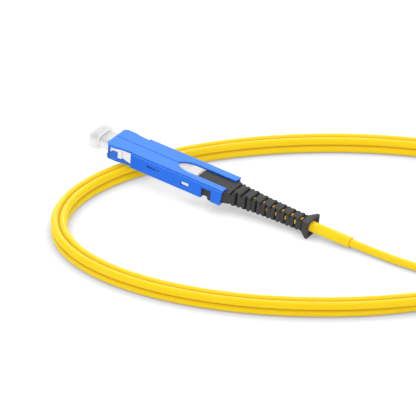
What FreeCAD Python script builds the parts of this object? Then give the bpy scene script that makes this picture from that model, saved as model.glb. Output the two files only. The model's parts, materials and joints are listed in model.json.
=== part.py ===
import FreeCAD, Part
import Sketcher
import math
import os
import re

# Duplex fibre patch cord: two yellow strands in a flat twin cord, laid up in a two-turn coil,
# with a miniature push-pull plug on each strand at each end. Millimetres, +Z up, floor at z = 0.
# A plug is drawn once in its own frame: x runs back from the front of its slide housing along
# the ferrule axis, y across, z up. Every plug of the cord is a placed copy of those pieces.

SIZES = {
    # slide housing
    "housing_length": 29.5, "housing_width": 7.7, "housing_height": 3.6,
    "plate_wall": 0.4, "side_wall": 0.5, "edge_chamfer": 0.2, "nose_chamfer": 0.8, "nose_rake": 0.4,
    "bezel_length": 1.1, "side_window_end": 6.5, "waist_depth": 0.7, "waist_front": 2.2,
    "waist_lead": 3.9, "waist_lead_depth": 0.5, "slot_front": 16.3, "slot_width": 3.65, "slot_nose": 4.2,
    "catch_window_front": 19.3, "catch_window_length": 2.0, "catch_window_height": 1.0,
    "catch_window_drop": 0.1, "ear_window_front": 24.4, "ear_window_length": 2.5,
    "ear_window_top": 0.95, "grip_slot_front": 10.75, "grip_slot_length": 3.1,
    "grip_slot_height": 0.42, "grip_slot_low": 0.3, "grip_slot_depth": 0.25, "grip_bump": 0.4,
    "parting_width": 0.14, "parting_depth": 0.08, "housing_travel": 1.2, "slide_gap": 0.1,
    # plug frame and what it holds
    "frame_front": 0.4, "frame_back": 21.7, "frame_mouth_bore": 2.1, "frame_mouth_depth": 5.9,
    "frame_shoulder": 1.0, "frame_back_bore": 2.1, "relief_top": 0.4, "lug_front": 2.85,
    "lug_bottom": -1.0, "lug_back": 3.8, "latch_groove": 0.3, "latch_groove_depth": 0.35,
    "latch_bottom": -0.6, "frame_pad_front": 19.2, "frame_pad_width": 2.6,
    "frame_pad_height": 3.3,
    "ferrule_diameter": 1.25, "ferrule_front": 0.8, "ferrule_length": 7.5, "ferrule_gap": 0.075,
    "collar_diameter": 1.9, "collar_length": 1.8, "collar_seat_gap": 0.1,
    "tail_diameter": 1.15, "tail_length": 10.2,
    "spring_radius": 0.88, "spring_wire": 0.25, "spring_turns": 5.0, "spring_gap": 0.08,
    # stop ring, crimp and boot
    "stop_bore": 1.2, "stop_diameter": 2.1,
    "stop_back": 28.5, "neck_diameter": 1.7, "neck_back": 33.2,
    "crimp_across": 2.1, "crimp_front": 29.2, "crimp_length": 3.9, "fit_gap": 0.05,
    "boot_front": 21.9, "boot_shoulder": 2.5, "boot_shoulder_width": 4.0, "boot_root_back": 36.0,
    "boot_tip": 47.9, "boot_root_width": 4.1, "boot_root_height": 2.8, "boot_mid_width": 3.2,
    "boot_mid_height": 2.8, "boot_tip_width": 2.6, "boot_tip_height": 2.5,
    "flare_width": 4.5, "flare_height": 3.6, "flare_length": 1.5, "flare_rim": 0.5,
    "boot_slot_first": 30.95, "boot_slot_pitch": 2.33, "boot_slot_gap": 0.45,
    "boot_bridge_height": 1.7, "boot_bridge_width": 1.8, "boot_slot_count": 8.0,
    "ear_length": 1.05, "ear_ramp": 0.5, "ear_width": 7.3, "ear_top": 0.8, "ear_bottom": -1.7,
    # dust cap
    "cap_flange_width": 6.8, "cap_flange_height": 3.9, "cap_flange_length": 2.45,
    "cap_flange_back": -2.75, "cap_neck_width": 5.2, "cap_neck_height": 2.6,
    "cap_neck_back": 0.25, "cap_post_diameter": 1.9, "cap_post_back": 5.5,
    "cap_bore_diameter": 1.35, "cap_bore_front": -1.5, "cap_edge_chamfer": 0.4,
    # cord
    "strand_diameter": 1.65, "strand_pitch": 1.85, "sleeve_diameter": 2.34, "sleeve_core": 2.0,
    "sleeve_front": 33.6, "sleeve_step": 48.4, "sleeve_back": 59.0,
    "coil_long_radius": 56.0, "coil_short_radius": 32.7, "coil_turn": 1.4, "coil_x": -40.63, "coil_y": 3.29,
    # how the first plug leans on the coil
    "lean_x": -44.75, "lean_y": 24.0, "lean_yaw": -33.2, "lean_pitch": 5.0,
}

# The other plugs lie flat: sleeve end from the coil centre, and the heading of the plug's nose.
FLAT_PLUGS = {"a2": (68.0, 1.0, 12.0), "b1": (68.0, -15.5, 8.0), "b2": (66.0, -26.0, -6.0)}

# Strand routes from the coil centre, after the run that leaves the plug's sleeve.
ROUTES = {
    "a1": [(16.2, -16.6, 0.85), (26.0, -21.4, 0.85), (35.6, -19.8, 0.85), (42.2, -12.4, 0.85),
           (44.0, -2.5, 1.0), (44.6, 6.5, 1.7), (43.2, 14.9, 2.4), (37.6, 23.8, 2.4)],
    "a2": [(58.6, -1.3, 2.55), (52.8, 0.25, 2.55), (48.6, 4.5, 2.3), (47.0, 10.3, 2.3),
           (45.2, 16.6, 2.45), (38.4, 25.4, 2.6)],
    "b1": [(55.3, -19.2, 0.95), (46.2, -23.2, 0.85), (37.2, -25.7, 0.85), (28.3, -27.75, 0.85),
           (19.7, -29.3, 0.85)],
    "b2": [(54.6, -24.6, 0.95), (46.4, -25.1, 0.85), (37.6, -27.5, 0.85), (28.7, -29.55, 0.85),
           (20.1, -31.1, 0.85)],
}
ROUTE_START = 53.5
ROUTE_LEAVE = 62.3
SPRING_STEPS = 6
MITRED = 1

# Sides of what is turned, bored or pressed flat and repeats on every plug.
TURNED_SIDES = 12
STRAND_SIDES = 6
BORE_SIDES = 8
BOOT_BORE_SIDES = 6
CRIMP_SIDES = 6

doc = FreeCAD.newDocument("patch_cord")
sheet = doc.addObject("Spreadsheet::Sheet", "sizes")
for row, (alias, value) in enumerate(SIZES.items(), start=1):
    sheet.set(f"A{row}", str(value))
    sheet.setAlias(f"A{row}", alias)
doc.recompute()


def size(alias):
    return float(sheet.get(alias))


def bind(thing, prop, formula):
    """Bind a property to a formula of sheet aliases."""
    thing.setExpression(prop, re.sub(r"[a-z]\w+", r"sizes.\g<0>", formula))


def box(name, length, width, height, x, y, z):
    """Box from its low corner."""
    made = doc.addObject("Part::Box", name)
    formulas = {"Length": length, "Width": width, "Height": height,
                "Placement.Base.x": x, "Placement.Base.y": y, "Placement.Base.z": z}
    for prop, formula in formulas.items():
        bind(made, prop, formula)
    return made


def rod(name, diameter, front, back, y="0"):
    """Cylinder along x."""
    made = doc.addObject("Part::Cylinder", name)
    made.Placement.Rotation = FreeCAD.Rotation(FreeCAD.Vector(0, 1, 0), 90)
    bind(made, "Radius", f"({diameter}) / 2")
    bind(made, "Height", f"({back}) - ({front})")
    bind(made, "Placement.Base.x", front)
    bind(made, "Placement.Base.y", y)
    return made


def prism(name, sides, across_flats, front, back):
    """Many-sided bar along x with flats at its top and bottom, for bores and hidden turned pieces."""
    made = doc.addObject("Part::Prism", name)
    made.Polygon = sides
    lay = FreeCAD.Rotation(FreeCAD.Vector(0, 1, 0), 90)
    made.Placement.Rotation = lay * FreeCAD.Rotation(FreeCAD.Vector(0, 0, 1), 180 / sides)
    bind(made, "Circumradius", f"({across_flats}) / {2 * math.cos(math.pi / sides)}")
    bind(made, "Height", f"({back}) - ({front})")
    bind(made, "Placement.Base.x", front)
    return made


def taper(name, front, back, front_width, front_height, back_width, back_height):
    """Frustum along x between two centred rectangles."""
    made = doc.addObject("Part::Wedge", name)
    made.Placement.Rotation = FreeCAD.Rotation(FreeCAD.Vector(0, 0, 1), -90)
    formulas = {"Ymin": front, "Ymax": back}
    for axis, near, far in (("X", front_width, back_width), ("Z", front_height, back_height)):
        formulas[axis + "min"] = f"-({near}) / 2"
        formulas[axis + "max"] = f"({near}) / 2"
        formulas[axis + "2min"] = f"-({far}) / 2"
        formulas[axis + "2max"] = f"({far}) / 2"
    for prop, formula in formulas.items():
        bind(made, prop, formula)
    return made


def fuse(name, shapes):
    made = doc.addObject("Part::MultiFuse", name)
    made.Shapes = shapes
    made.Refine = True
    return made


def cut(name, base, tools):
    made = doc.addObject("Part::Cut", name)
    made.Base = base
    made.Tool = tools[0] if len(tools) == 1 else fuse(name + "_tools", tools)
    made.Refine = True
    return made


def stadium(name, width, height, front, back):
    """Bar along x with half-round sides."""
    middle = box(name + "_middle", f"({back}) - ({front})", f"{width} - {height}", height,
                 front, f"({height} - {width}) / 2", f"-{height} / 2")
    ends = [rod(f"{name}_end_{side}", height, front, back, f"{sign}({width} - {height}) / 2")
            for side, sign in (("near", "-"), ("far", ""))]
    return fuse(name, [middle] + ends)


def polygon_sketch(body, role, name, outlines):
    """Sketch of closed outlines, each a list of corner formulas."""
    sketch = body.newObject("Sketcher::SketchObject", name)
    plane = next(item for item in body.Origin.OriginFeatures if item.Role == role)
    sketch.AttachmentSupport = [(plane, "")]
    sketch.MapMode = "FlatFace"
    for outline in outlines:
        count = len(outline)
        first = sketch.GeometryCount
        start = [FreeCAD.Vector(math.cos(2 * math.pi * k / count), math.sin(2 * math.pi * k / count), 0)
                 for k in range(count)]
        for k in range(count):
            sketch.addGeometry(Part.LineSegment(start[k], start[(k + 1) % count]))
        for k in range(count):
            sketch.addConstraint(Sketcher.Constraint("Coincident", first + k, 2, first + (k + 1) % count, 1))
        for k, (u, v) in enumerate(outline):
            for kind, formula in (("DistanceX", u), ("DistanceY", v)):
                index = sketch.addConstraint(Sketcher.Constraint(kind, first + k, 1, 0.5))
                bind(sketch, f"Constraints[{index}]", formula)
    return sketch


def pocket(body, name, sketch, length):
    """Cut right through, half to each side of the sketch plane."""
    made = body.newObject("PartDesign::Pocket", name)
    made.Profile = sketch
    made.SideType = "Symmetric"
    bind(made, "Length", length)
    return made


def rectangle(left, right, low, high):
    return [(left, low), (right, low), (right, high), (left, high)]


def slide_housing():
    """Moulded push-pull shell: raked ends, waisted hood, side windows and a long slot."""
    body = doc.addObject("PartDesign::Body", "housing_body")
    half_w, half_h = "housing_width / 2", "housing_height / 2"
    corners = [(f"{half_w} - edge_chamfer", half_h), (half_w, f"{half_h} - edge_chamfer")]
    section = []
    for sign_y, sign_z, order in (("", "", 1), ("", "-", -1), ("-", "-", 1), ("-", "", -1)):
        section += [(f"{sign_y}({y})", f"{sign_z}({z})") for y, z in corners[::order]]
    outer = polygon_sketch(body, "YZ_Plane", "housing_section", [section])
    pad = body.newObject("PartDesign::Pad", "housing_pad")
    pad.Profile = outer
    bind(outer, "AttachmentOffset.Base.z", "-nose_rake")
    bind(pad, "Length", "housing_length + nose_rake")

    plan = []
    for sign in ("", "-"):
        beyond = f"{sign}(housing_width)"
        side = f"{sign}({half_w})"
        lead = f"{sign}({half_w} - waist_lead_depth)"
        waist = f"{sign}({half_w} - waist_depth)"
        nose_edge = f"{sign}({half_w} - nose_chamfer - 2 * nose_rake)"
        plan.append([("-2 * nose_rake", nose_edge), ("nose_chamfer", side), ("nose_chamfer", beyond),
                     ("-2 * nose_rake", beyond)])
        plan.append([("waist_front", side), ("waist_lead", lead), ("side_window_end", waist),
                     ("side_window_end", beyond), ("waist_front", beyond)])
    plan_sketch = polygon_sketch(body, "XY_Plane", "housing_plan", plan)
    pocket(body, "housing_waist", plan_sketch, "2 * housing_height")

    inside_w = f"({half_w} - side_wall)"
    inside_h = f"({half_h} - plate_wall)"
    mouth = [(f"{a}{inside_w}", f"{b}{inside_h}") for a, b in (("", ""), ("", "-"), ("-", "-"), ("-", ""))]
    cavity = polygon_sketch(body, "YZ_Plane", "housing_mouth", [mouth])
    pocket(body, "housing_cavity", cavity, "3 * housing_length")

    catch_top = "catch_window_height / 2 - catch_window_drop"
    catch_low = "-catch_window_height / 2 - catch_window_drop"
    front_window = [("bezel_length - nose_rake", f"-{inside_h}"), ("side_window_end", f"-{inside_h}"),
                    ("side_window_end", inside_h), ("bezel_length", inside_h)]
    windows = [front_window,
               rectangle("catch_window_front", "catch_window_front + catch_window_length",
                         catch_low, catch_top),
               rectangle("ear_window_front", "ear_window_front + ear_window_length",
                         "-housing_height", "ear_window_top")]
    for top, bottom, outside in (("0", "-nose_rake", "-2 * nose_rake"),
                                 ("housing_length", "housing_length - nose_rake",
                                  "housing_length + nose_rake")):
        windows.append([(top, half_h), (bottom, f"-{half_h}"), (outside, f"-{half_h}"), (outside, half_h)])
    side = polygon_sketch(body, "XZ_Plane", "housing_windows", windows)
    pocket(body, "housing_side", side, "2 * housing_width")

    nose = doc.addObject("Part::Ellipse", "slot_nose_outline")
    bind(nose, "MajorRadius", "slot_nose")
    bind(nose, "MinorRadius", "slot_width / 2")
    bind(nose, "Placement.Base.x", "slot_front + slot_nose")
    bind(nose, "Placement.Base.z", "-housing_height")
    nose_cut = doc.addObject("Part::Extrusion", "slot_nose_cut")
    nose_cut.Base = nose
    nose_cut.DirMode = "Custom"
    nose_cut.Dir = FreeCAD.Vector(0, 0, 1)
    nose_cut.Solid = True
    bind(nose_cut, "LengthFwd", "2 * housing_height")
    run_cut = box("slot_run_cut", "housing_length", "slot_width", "2 * housing_height",
                  "slot_front + slot_nose", "-slot_width / 2", "-housing_height")
    marks = [box("parting_cut", "slot_front + housing_length", "parting_width", "parting_depth * 2",
                 "-housing_length", "-parting_width / 2", f"{half_h} - parting_depth")]
    for name, low in (("near", f"-{half_w} - grip_slot_depth"), ("far", f"{half_w} - grip_slot_depth")):
        marks.append(box("grip_slot_" + name, "grip_slot_length", "grip_slot_depth * 2",
                         "grip_slot_height", "grip_slot_front", low, "grip_slot_low"))
    shell = cut("housing_shell", body, [nose_cut, run_cut] + marks)
    bumps = []
    bump_depth = "(grip_slot_depth + side_wall) / 2"
    for name, low in (("near", f"-{half_w}"), ("far", f"{half_w} - {bump_depth}")):
        bumps.append(box("grip_bump_" + name, "grip_bump", bump_depth, "grip_slot_height",
                         "grip_slot_front + grip_slot_length - 2 * grip_bump", low, "grip_slot_low"))
    return fuse("slide_housing", [shell] + bumps)


FRAME_WIDTH = "(housing_width - 2 * side_wall - 2 * slide_gap)"
FRAME_HEIGHT = "(housing_height - 2 * plate_wall - 2 * slide_gap)"
SLOT_FILL_BACK = "(housing_length + housing_travel + slide_gap)"


def plug_frame():
    """White inner frame that the ferrule floats in: open chin, latch lugs and slot pad."""
    body = doc.addObject("PartDesign::Body", "frame_body")
    half_w, half_h = f"{FRAME_WIDTH} / 2", f"{FRAME_HEIGHT} / 2"
    outline = polygon_sketch(body, "XZ_Plane", "frame_side", [[
        ("frame_front", half_h), ("frame_front", "relief_top"), ("lug_front", "relief_top"),
        ("lug_front", "lug_bottom"), ("lug_back", "lug_bottom"),
        ("lug_back + latch_groove", "latch_bottom"), ("side_window_end", f"-{half_h}"),
        ("frame_back", f"-{half_h}"), ("frame_back", half_h)]])
    pad = body.newObject("PartDesign::Pad", "frame_pad")
    pad.Profile = outline
    pad.SideType = "Symmetric"
    bind(pad, "Length", FRAME_WIDTH)
    grooves = []
    for sign in ("", "-"):
        grooves.append(rectangle("lug_back", "lug_back + latch_groove",
                                 f"{sign}({half_w} - latch_groove_depth)", f"{sign}(housing_width)"))
    pocket(body, "frame_grooves", polygon_sketch(body, "XY_Plane", "frame_plan", grooves), "housing_height")
    top_pad = box("frame_slot_pad", "frame_back - frame_pad_front", "frame_pad_width", "frame_pad_height",
                  "frame_pad_front", "-frame_pad_width / 2", "-frame_pad_height / 2")
    mouth_back = "frame_front + frame_mouth_depth"
    tools = [prism("frame_mouth", BORE_SIDES, "frame_mouth_bore", "0", mouth_back),
             prism("frame_hole", BORE_SIDES, "ferrule_diameter + 2 * ferrule_gap", "0", "frame_back"),
             prism("frame_rear_bore", BORE_SIDES, "frame_back_bore", f"{mouth_back} + frame_shoulder",
                   "frame_back + frame_shoulder")]
    return cut("plug_frame", fuse("frame_solid", [body, top_pad]), tools)


COLLAR_FRONT = "frame_front + frame_mouth_depth + frame_shoulder + collar_seat_gap"
STOP_FRONT = "frame_back + fit_gap"


def ferrule():
    return rod("ferrule", "ferrule_diameter", "ferrule_front", "ferrule_front + ferrule_length")


def ferrule_holder():
    """Turned collar and tail behind the ferrule."""
    collar_back = COLLAR_FRONT + " + collar_length"
    solid = fuse("holder_solid", [
        prism("holder_collar", TURNED_SIDES, "collar_diameter", COLLAR_FRONT, collar_back),
        prism("holder_tail", TURNED_SIDES, "tail_diameter", COLLAR_FRONT, collar_back + " + tail_length")])
    seat = prism("holder_seat", BORE_SIDES, "ferrule_diameter", "0", "ferrule_front + ferrule_length")
    return cut("ferrule_holder", solid, [seat])


def spring():
    """Wire coil between the collar and the stop ring, in straight runs with mitred corners."""
    collar_back = size("frame_front") + size("frame_mouth_depth") + size("frame_shoulder") \
        + size("collar_seat_gap") + size("collar_length")
    front = collar_back + size("spring_gap") + size("spring_wire")
    back = size("frame_back") + size("fit_gap") - size("spring_gap") - size("spring_wire")
    steps = int(size("spring_turns") * SPRING_STEPS)
    points = []
    for step in range(steps + 1):
        turn = 2 * math.pi * step / SPRING_STEPS
        points.append(FreeCAD.Vector(front + (back - front) * step / steps,
                                     size("spring_radius") * math.cos(turn),
                                     size("spring_radius") * math.sin(turn)))
    ahead = points[1] - points[0]
    side = ahead.cross(FreeCAD.Vector(1, 0, 0)).normalize() * (size("spring_wire") / 2)
    up = ahead.cross(side).normalize() * (size("spring_wire") / 2)
    section = Part.makePolygon([points[0] + side, points[0] + up, points[0] - side, points[0] - up,
                                points[0] + side])
    made = doc.addObject("Part::Feature", "spring")
    made.Shape = Part.makePolygon(points).makePipeShell([section], True, False, MITRED)
    return made


def stop_ring():
    """Turned and bored ring behind the frame, which the spring bears on, with the crimp's neck."""
    solid = fuse("stop_solid", [
        prism("stop_body", TURNED_SIDES, "stop_diameter", STOP_FRONT, "stop_back"),
        prism("stop_neck", TURNED_SIDES, "neck_diameter", "stop_back - neck_diameter", "neck_back")])
    return cut("stop_ring", solid, [prism("stop_hole", BORE_SIDES, "stop_bore", "0", "2 * neck_back")])


def crimp_sleeve():
    """Sleeve pressed to six flats over the strand's yarn."""
    tube = prism("crimp_tube", CRIMP_SIDES, "crimp_across", "crimp_front", "crimp_front + crimp_length")
    bore = prism("crimp_bore", BORE_SIDES, "neck_diameter + 2 * fit_gap", "0", "2 * neck_back")
    return cut("crimp_sleeve", tube, [bore])


def boot():
    """Rubber boot: block in the housing's slot, tapered tail cut into links, square flare."""
    pad_w = "(slot_width - 2 * slide_gap)"
    flare_back = "boot_tip + flare_length"
    ear_front = "ear_window_front + housing_travel + slide_gap"
    ear_middle = "(ear_top + ear_bottom) / 2"
    ear_height = "(ear_top - ear_bottom)"
    ramp = taper("boot_ear_ramp", ear_front, f"{ear_front} + ear_ramp", FRAME_WIDTH, ear_height,
                 "ear_width", ear_height)
    bind(ramp, "Placement.Base.z", ear_middle)
    solid = fuse("boot_solid", [
        box("boot_block", "housing_length - boot_front", FRAME_WIDTH, FRAME_HEIGHT,
            "boot_front", f"-{FRAME_WIDTH} / 2", f"-{FRAME_HEIGHT} / 2"),
        box("boot_pad", f"{SLOT_FILL_BACK} - boot_front", pad_w, "boot_root_height",
            "boot_front", f"-{pad_w} / 2", "-boot_root_height / 2"),
        ramp,
        box("boot_ears", "ear_length - ear_ramp", "ear_width", ear_height,
            f"{ear_front} + ear_ramp", "-ear_width / 2", "ear_bottom"),
        taper("boot_shoulders", "housing_length", "housing_length + boot_shoulder", FRAME_WIDTH,
              FRAME_HEIGHT, "boot_shoulder_width", FRAME_HEIGHT),
        taper("boot_root", SLOT_FILL_BACK, "boot_root_back", "boot_root_width", "boot_root_height",
              "boot_mid_width", "boot_mid_height"),
        taper("boot_tail", "boot_root_back", "boot_tip", "boot_mid_width", "boot_mid_height",
              "boot_tip_width", "boot_tip_height"),
        taper("boot_flare", "boot_tip", flare_back, "boot_tip_width", "boot_tip_height",
              "flare_width", "flare_height"),
        box("boot_rim", "flare_rim", "flare_width", "flare_height",
            flare_back, "-flare_width / 2", "-flare_height / 2")])
    crimp_room = prism("boot_crimp_room", CRIMP_SIDES, "crimp_across + 2 * fit_gap", "0",
                       "sleeve_front - fit_gap")
    bore = prism("boot_bore", BOOT_BORE_SIDES, "sleeve_core + 2 * fit_gap", "0", "2 * boot_tip")
    mouth = prism("boot_mouth", BORE_SIDES, "sleeve_diameter + 2 * fit_gap", "sleeve_step - fit_gap",
                  "2 * boot_tip")
    tools = [crimp_room, bore, mouth]
    for index in range(int(size("boot_slot_count"))):
        over = f"boot_slot_first + boot_slot_pitch * {index} - boot_slot_gap / 2"
        floor = "boot_bridge_height / 2"
        for name, low in (("top", floor), ("base", f"-{floor} - housing_height")):
            tools.append(box(f"boot_{name}_slot_{index}", "boot_slot_gap", "2 * housing_width",
                             "housing_height", over, "-housing_width", low))
        if index + 1 == int(size("boot_slot_count")):
            break
        beside = over + " + boot_slot_pitch / 2"
        floor = "boot_bridge_width / 2"
        for name, low in (("far", floor), ("near", f"-{floor} - housing_width")):
            tools.append(box(f"boot_{name}_slot_{index}", "boot_slot_gap", "housing_width",
                             "2 * housing_height", beside, low, "-housing_height"))
    return cut("boot", solid, tools)


def dust_cap():
    """Pull-off cap: stadium flange and neck, with a bored post that grips the ferrule."""
    flange = stadium("cap_flange", "cap_flange_width", "cap_flange_height",
                     "cap_flange_back - cap_flange_length", "cap_flange_back")
    doc.recompute()
    soft = doc.addObject("Part::Chamfer", "cap_soft_flange")
    soft.Base = flange
    edge_size = size("cap_edge_chamfer")
    soft.Edges = [(number, edge_size, edge_size) for number, edge in enumerate(flange.Shape.Edges, start=1)
                  if edge.BoundBox.XMax < size("cap_flange_back") - edge_size]
    solid = fuse("cap_solid", [
        soft,
        stadium("cap_neck", "cap_neck_width", "cap_neck_height", "cap_flange_back - 1", "cap_neck_back"),
        prism("cap_post", TURNED_SIDES, "cap_post_diameter", "cap_flange_back", "cap_post_back")])
    bore = prism("cap_bore", BORE_SIDES, "cap_bore_diameter", "cap_bore_front", "2 * cap_post_back")
    return cut("dust_cap", solid, [bore])


def leg_sleeve():
    """Jacket of the strand inside the boot, with the thicker tube that shows behind it."""
    tube = fuse("sleeve_solid", [
        prism("sleeve_inside", TURNED_SIDES, "sleeve_core", "sleeve_front", "sleeve_step"),
        rod("sleeve_tube", "sleeve_diameter", "sleeve_step", "sleeve_back")])
    bore = prism("sleeve_bore", BORE_SIDES, "strand_diameter + fit_gap", "0", "2 * sleeve_back")
    return cut("leg_sleeve", tube, [bore])


def coil():
    """Outer shape of the two turns of twin cord, as one oval ring."""
    width = "(strand_pitch + strand_diameter)"
    discs = []
    for name, sign in (("outer", "+"), ("inner", "-")):
        outline = doc.addObject("Part::Ellipse", f"coil_{name}_outline")
        bind(outline, "MajorRadius", f"coil_long_radius {sign} {width} / 2")
        bind(outline, "MinorRadius", f"coil_short_radius {sign} {width} / 2")
        disc = doc.addObject("Part::Extrusion", f"coil_{name}_disc")
        disc.Base = outline
        disc.DirMode = "Custom"
        disc.Dir = FreeCAD.Vector(0, 0, 1)
        disc.Solid = True
        bind(disc, "LengthFwd", "2 * strand_diameter")
        discs.append(disc)
    made = cut("cord_coil", discs[0], [discs[1]])
    made.Placement = FreeCAD.Placement(coil_centre(), FreeCAD.Rotation(size("coil_turn"), 0, 0))
    return made


def coil_centre():
    return FreeCAD.Vector(size("coil_x"), size("coil_y"), 0)


def plug_placements():
    """Placement of each plug's own frame."""
    pitch = math.radians(size("lean_pitch"))
    flare_end = size("boot_tip") + size("flare_length") + size("flare_rim")
    rests = [(size("flare_height"), flare_end), (size("sleeve_diameter"), size("sleeve_back"))]
    nose_z = max(math.cos(pitch) * high / 2 + math.sin(pitch) * along for high, along in rests)
    nose = coil_centre() + FreeCAD.Vector(size("lean_x"), size("lean_y"), nose_z)
    placements = {"a1": FreeCAD.Placement(nose, FreeCAD.Rotation(size("lean_yaw"), size("lean_pitch"), 0))}
    for plug, (x, y, heading) in FLAT_PLUGS.items():
        turn = FreeCAD.Rotation(heading + 180, 0, 0)
        end = coil_centre() + FreeCAD.Vector(x, y, size("cap_flange_height") / 2)
        back = turn.multVec(FreeCAD.Vector(size("sleeve_back"), 0, 0))
        placements[plug] = FreeCAD.Placement(end - back, turn)
    return placements


def strand_tube(points, radius):
    """Six-sided tube along straight runs joined by the largest arcs that they allow."""
    edges = []
    last = points[0]
    radii = []
    for before, corner, after in zip(points, points[1:], points[2:]):
        back = before - corner
        ahead = after - corner
        reach = 0.45 * min(back.Length, ahead.Length)
        half_turn = (math.pi - back.getAngle(ahead)) / 2
        bend = reach / math.tan(half_turn)
        radii.append(bend)
        back.normalize()
        ahead.normalize()
        start = corner + back * reach
        end = corner + ahead * reach
        inward = back + ahead
        inward.normalize()
        middle = corner + inward * (bend / math.cos(half_turn) - bend)
        edges.append(Part.LineSegment(last, start).toShape())
        edges.append(Part.Arc(start, middle, end).toShape())
        last = end
    edges.append(Part.LineSegment(last, points[-1]).toShape())
    path = Part.Wire(edges)
    across = (points[1] - points[0]).cross(FreeCAD.Vector(0, 0, 1)).normalize() * radius
    turn = FreeCAD.Rotation(points[1] - points[0], 360 / STRAND_SIDES)
    rim = [across]
    for side in range(STRAND_SIDES):
        rim.append(turn.multVec(rim[-1]))
    section = Part.makePolygon([points[0] + arm for arm in rim])
    tube = path.makePipeShell([section], True, False)
    wanted = STRAND_SIDES / 2 * math.sin(2 * math.pi / STRAND_SIDES) * radius ** 2 * path.Length
    print("strand length %.1f, radii %s, volume ratio %.4f" % (
        path.Length, [round(bend, 1) for bend in radii], tube.Volume / wanted))
    return tube


def leg(plug, placement):
    """Tube of one strand from inside the plug's sleeve to the coil."""
    stations = [placement.multVec(FreeCAD.Vector(x, 0, 0)) for x in (ROUTE_START, ROUTE_LEAVE)]
    route = [coil_centre() + FreeCAD.Vector(*point) for point in ROUTES[plug]]
    made = doc.addObject("Part::Feature", plug + "_leg")
    made.Shape = strand_tube(stations + route, size("strand_diameter") / 2)
    return made


def placed_copy(master, plug, placement):
    made = doc.addObject("Part::Compound", f"{plug}_{master.Name}")
    made.Links = [master]
    made.Placement = placement
    return made


masters = [slide_housing(), plug_frame(), ferrule(), ferrule_holder(), spring(), stop_ring(),
           crimp_sleeve(), boot(), dust_cap(), leg_sleeve()]
subparts = [coil()]
doc.recompute()
for plug, placement in plug_placements().items():
    subparts += [placed_copy(master, plug, placement) for master in masters]
    subparts.append(leg(plug, placement))
for subpart in subparts:
    subpart.Label = subpart.Name
doc.recompute()

for item in doc.Objects:
    if "Invalid" in item.State or "Error" in item.State:
        raise RuntimeError(f"{item.Name} failed: {item.State}")
for subpart in subparts:
    if subpart.Shape.isNull() or not subpart.Shape.isValid() or not subpart.Shape.Solids:
        raise RuntimeError(f"{subpart.Label} has no valid solid")
os.makedirs("parts", exist_ok=True)
for subpart in subparts:
    subpart.Shape.exportStep(f"parts/{subpart.Label}.step")
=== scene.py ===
import json
import math

import bmesh
import bpy
from mathutils import Matrix, Vector


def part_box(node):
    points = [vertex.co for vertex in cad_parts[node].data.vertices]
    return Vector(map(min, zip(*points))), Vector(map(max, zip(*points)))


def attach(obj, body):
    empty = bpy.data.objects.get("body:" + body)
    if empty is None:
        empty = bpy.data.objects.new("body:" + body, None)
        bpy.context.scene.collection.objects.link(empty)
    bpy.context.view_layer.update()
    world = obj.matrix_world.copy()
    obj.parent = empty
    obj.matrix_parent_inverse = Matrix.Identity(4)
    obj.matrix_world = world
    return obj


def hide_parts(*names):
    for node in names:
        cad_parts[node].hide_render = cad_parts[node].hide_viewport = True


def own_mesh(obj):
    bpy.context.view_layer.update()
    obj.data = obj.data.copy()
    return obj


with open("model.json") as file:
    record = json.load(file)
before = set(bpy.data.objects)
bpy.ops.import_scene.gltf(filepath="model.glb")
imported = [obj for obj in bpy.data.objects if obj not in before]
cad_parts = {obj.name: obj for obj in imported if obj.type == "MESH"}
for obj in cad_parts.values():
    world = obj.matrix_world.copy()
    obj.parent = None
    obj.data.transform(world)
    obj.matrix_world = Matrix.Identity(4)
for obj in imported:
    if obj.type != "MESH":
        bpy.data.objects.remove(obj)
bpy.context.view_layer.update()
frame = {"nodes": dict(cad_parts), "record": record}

# Strands: two yellow plastic tubes, each drawn over its own fibre and running from a plug at one end of
# the cord to its mate at the other. They lie side by side in two stacked turns of a flat oval coil,
# and part from each other only where they turn off to their plugs.
MM = 0.001
# Each strand: its name, its side in the coil, its two plugs and its length in metres.
STRANDS = (("strand_1", "inner", "a1", "b1", 0.617), ("strand_2", "outer", "a2", "b2", 0.593))
STRAND_RADIUS = 0.85 * MM
STRAND_PITCH = 1.70 * MM
STRAND_FACETS = 6
CURVE_STEPS = 6
CURVE_ORDER = 3
COIL_LONG_RADIUS = 56.0 * MM
COIL_SHORT_RADIUS = 32.7 * MM
COIL_TURN = math.radians(1.4)
COIL_SHIFT = -0.45 * MM
LOWER_TURN_INSET = 0.4 * MM
# Angles along the turns, in degrees.
COIL_STEP = 7.5
COIL_FIRST = 54
COIL_LAST = 642
DESCENT_START = 308
DESCENT_END = 345
LOWER_LEVEL = 0.85 * MM
UPPER_LEVEL = 2.47 * MM
SIDE = {"inner": -1, "outer": 1}
# Places along a plug, from the front of its slide housing.
FERRULE_FRONT = 0.8 * MM
ROUTE_START = 53.5 * MM
ROUTE_LEAVE = 62.3 * MM
# Points of each leg from the coil's centre, in millimetres.
ROUTES = {
    "a1": [(16.2, -16.6, 0.85), (26.0, -21.4, 0.85), (35.6, -19.8, 0.85), (42.2, -12.4, 0.85),
           (44.0, -2.5, 1.0), (44.6, 6.5, 1.7), (43.2, 14.9, 2.4), (37.6, 23.8, 2.4)],
    "a2": [(58.6, -1.3, 2.55), (52.8, 0.25, 2.55), (48.6, 4.5, 2.3), (47.0, 10.3, 2.3),
           (45.2, 16.6, 2.45), (38.4, 25.4, 2.6)],
    "b1": [(55.3, -19.2, 0.95), (46.2, -23.2, 0.85), (37.2, -25.7, 0.85), (28.3, -27.75, 0.85),
           (19.7, -29.3, 0.85)],
    "b2": [(54.6, -24.6, 0.95), (46.4, -25.1, 0.85), (37.6, -27.5, 0.85), (28.7, -29.55, 0.85),
           (20.1, -31.1, 0.85)],
}
# Colour of painted shade in the jackets' grooves, then the jackets' own yellow from low to high.
JACKET_GROOVE_SHADE = (0.90, 0.33, 0.001)
JACKET_LOW = (0.96, 0.66, 0.001)
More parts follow.
